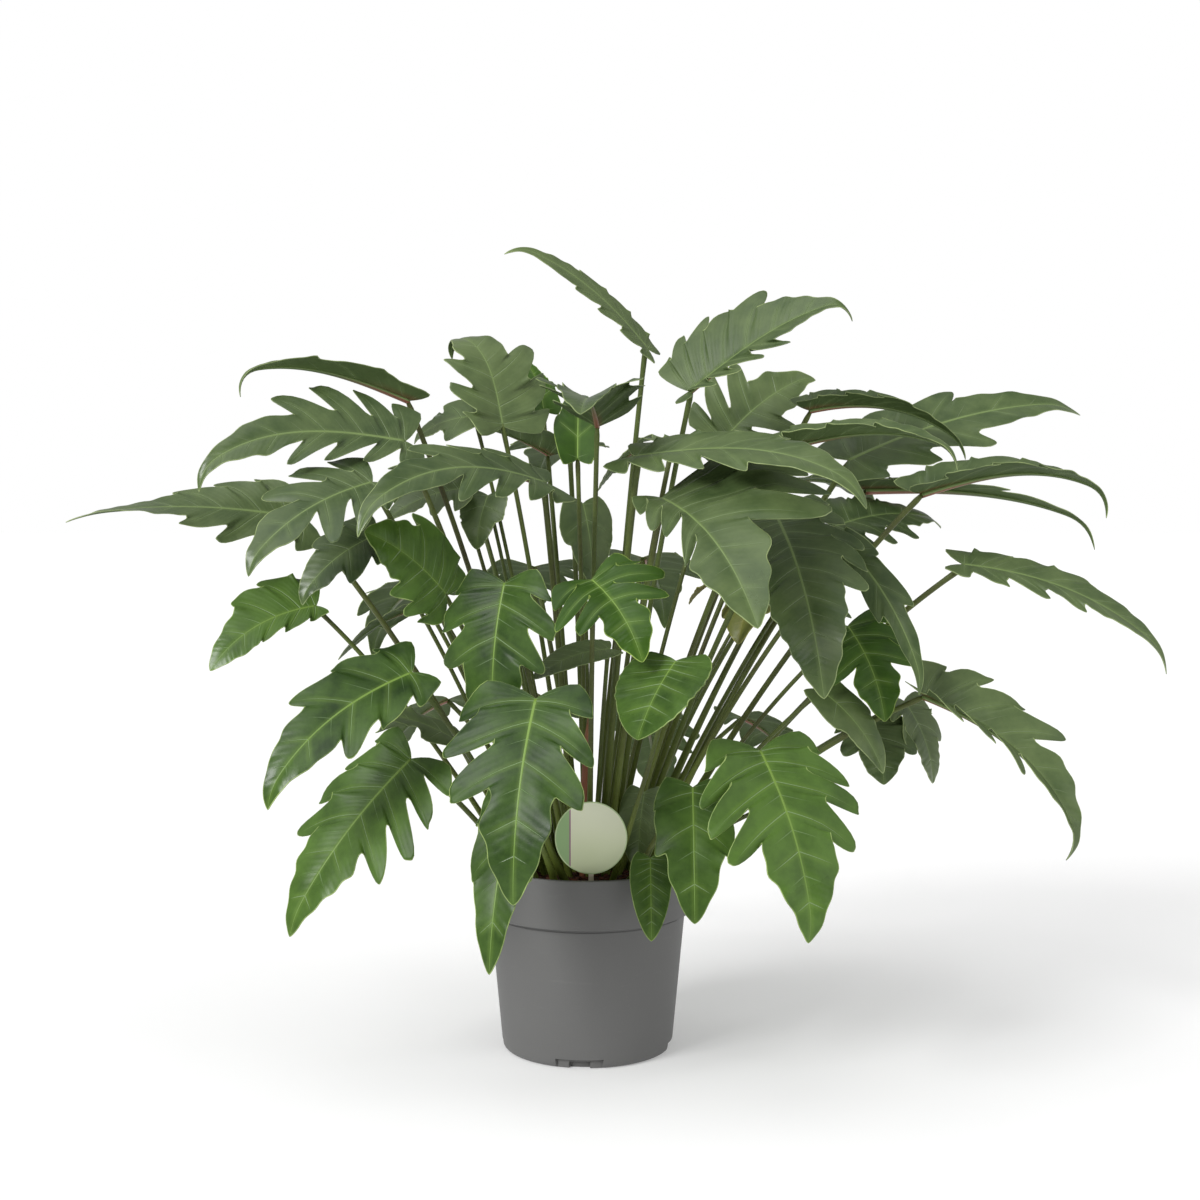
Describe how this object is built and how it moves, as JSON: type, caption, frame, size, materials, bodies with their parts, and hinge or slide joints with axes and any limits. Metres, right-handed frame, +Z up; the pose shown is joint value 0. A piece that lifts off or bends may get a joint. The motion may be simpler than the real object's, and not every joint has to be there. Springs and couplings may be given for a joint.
{
  "type": "potted xanadu philodendron",
  "caption": "Bushy aroid house plant with deeply lobed leaves on long stalks, rooted in soil in a round ribless nursery pot with a bare plant tag.",
  "frame": {"origin": "centre of the pot's underside, on the plane that the pot stands on", "axes": "+Z up along the pot's axis, -Y towards the front of the plant, where the tag stands, +X to the right seen from the front"},
  "size_m": [1.0554, 0.6508, 0.7896],
  "materials": {
    "pot_plastic": "injection-moulded grey nursery pot with a fine matt texture",
    "potting_soil": "dark crumbly potting soil with reddish coir fibres; wood stands in for it",
    "tag_plastic": "thin glossy plastic, bare on both faces",
    "sheath_skin": "dry papery reddish sheath of a new leaf; plastic stands in for it",
    "leaf_mature": "grown leaf, deep green with a soft grey sheen; plastic stands in for it",
    "leaf_fresh": "fresh green leaf with a light gloss; plastic stands in for it",
    "leaf_young": "young bright green glossy leaf; plastic stands in for it",
    "leaf_olive": "old leaf turning olive yellow; plastic stands in for it"
  },
  "bodies": {
    "root": {"pot": "pot_plastic", "soil": "potting_soil", "plant_tag": "tag_plastic", "next_leaf_sheath": "sheath_skin", "leaf_front_left_broad": "leaf_fresh", "leaf_front_left_lower": "leaf_fresh", "leaf_left_low_broad": "leaf_fresh", "leaf_left_low_drooping": "leaf_fresh", "leaf_left_low_behind": "leaf_mature", "leaf_left_middle_bright": "leaf_fresh", "leaf_left_back_small": "leaf_mature", "leaf_left_glossy": "leaf_fresh", "leaf_left_dark_inner": "leaf_mature", "leaf_left_long_arching": "leaf_mature", "leaf_left_deep_lobed": "leaf_mature", "leaf_left_upper_hooked": "leaf_mature", "leaf_left_far": "leaf_mature", "leaf_left_top_boat": "leaf_mature", "leaf_upper_left_upright": "leaf_mature", "leaf_upper_left_under": "leaf_mature", "leaf_upper_young_left": "leaf_young", "leaf_upper_fan": "leaf_mature", "leaf_upper_young_centre": "leaf_young", "leaf_top_slender": "leaf_mature", "leaf_upper_right_plume": "leaf_mature", "leaf_upper_right_behind": "leaf_mature", "leaf_right_upper_keeled": "leaf_mature", "leaf_right_upper_long": "leaf_mature", "leaf_right_inner_keeled": "leaf_mature", "leaf_centre_long": "leaf_mature", "leaf_centre_broad": "leaf_mature", "leaf_right_centre_lobed": "leaf_mature", "leaf_centre_young": "leaf_young", "leaf_centre_heart": "leaf_fresh", "leaf_centre_dark_small": "leaf_mature", "leaf_left_centre_bright": "leaf_fresh", "leaf_right_front_broad": "leaf_fresh", "leaf_right_front_inner": "leaf_fresh", "leaf_rim_small": "leaf_fresh", "leaf_centre_low_dark": "leaf_mature", "leaf_right_low_hidden": "leaf_mature", "leaf_right_low_narrow": "leaf_mature", "leaf_right_bright": "leaf_young", "leaf_right_dark_pair": "leaf_mature", "leaf_right_drooping": "leaf_mature", "leaf_right_dark_upper": "leaf_mature", "leaf_right_far_upper": "leaf_mature", "leaf_right_far_slender": "leaf_mature", "leaf_right_far": "leaf_mature", "leaf_right_low_far": "leaf_mature", "leaf_left_upper_small": "leaf_mature", "leaf_left_inner_low": "leaf_mature", "leaf_inner_dark": "leaf_mature", "leaf_inner_yellow": "leaf_olive", "leaf_back_left": "leaf_mature", "leaf_back_right": "leaf_mature", "leaf_back_far_left": "leaf_mature", "leaf_back_far_right": "leaf_mature", "leaf_back_low_left": "leaf_mature", "leaf_back_low_right": "leaf_mature"}
  },
  "joints": []
}
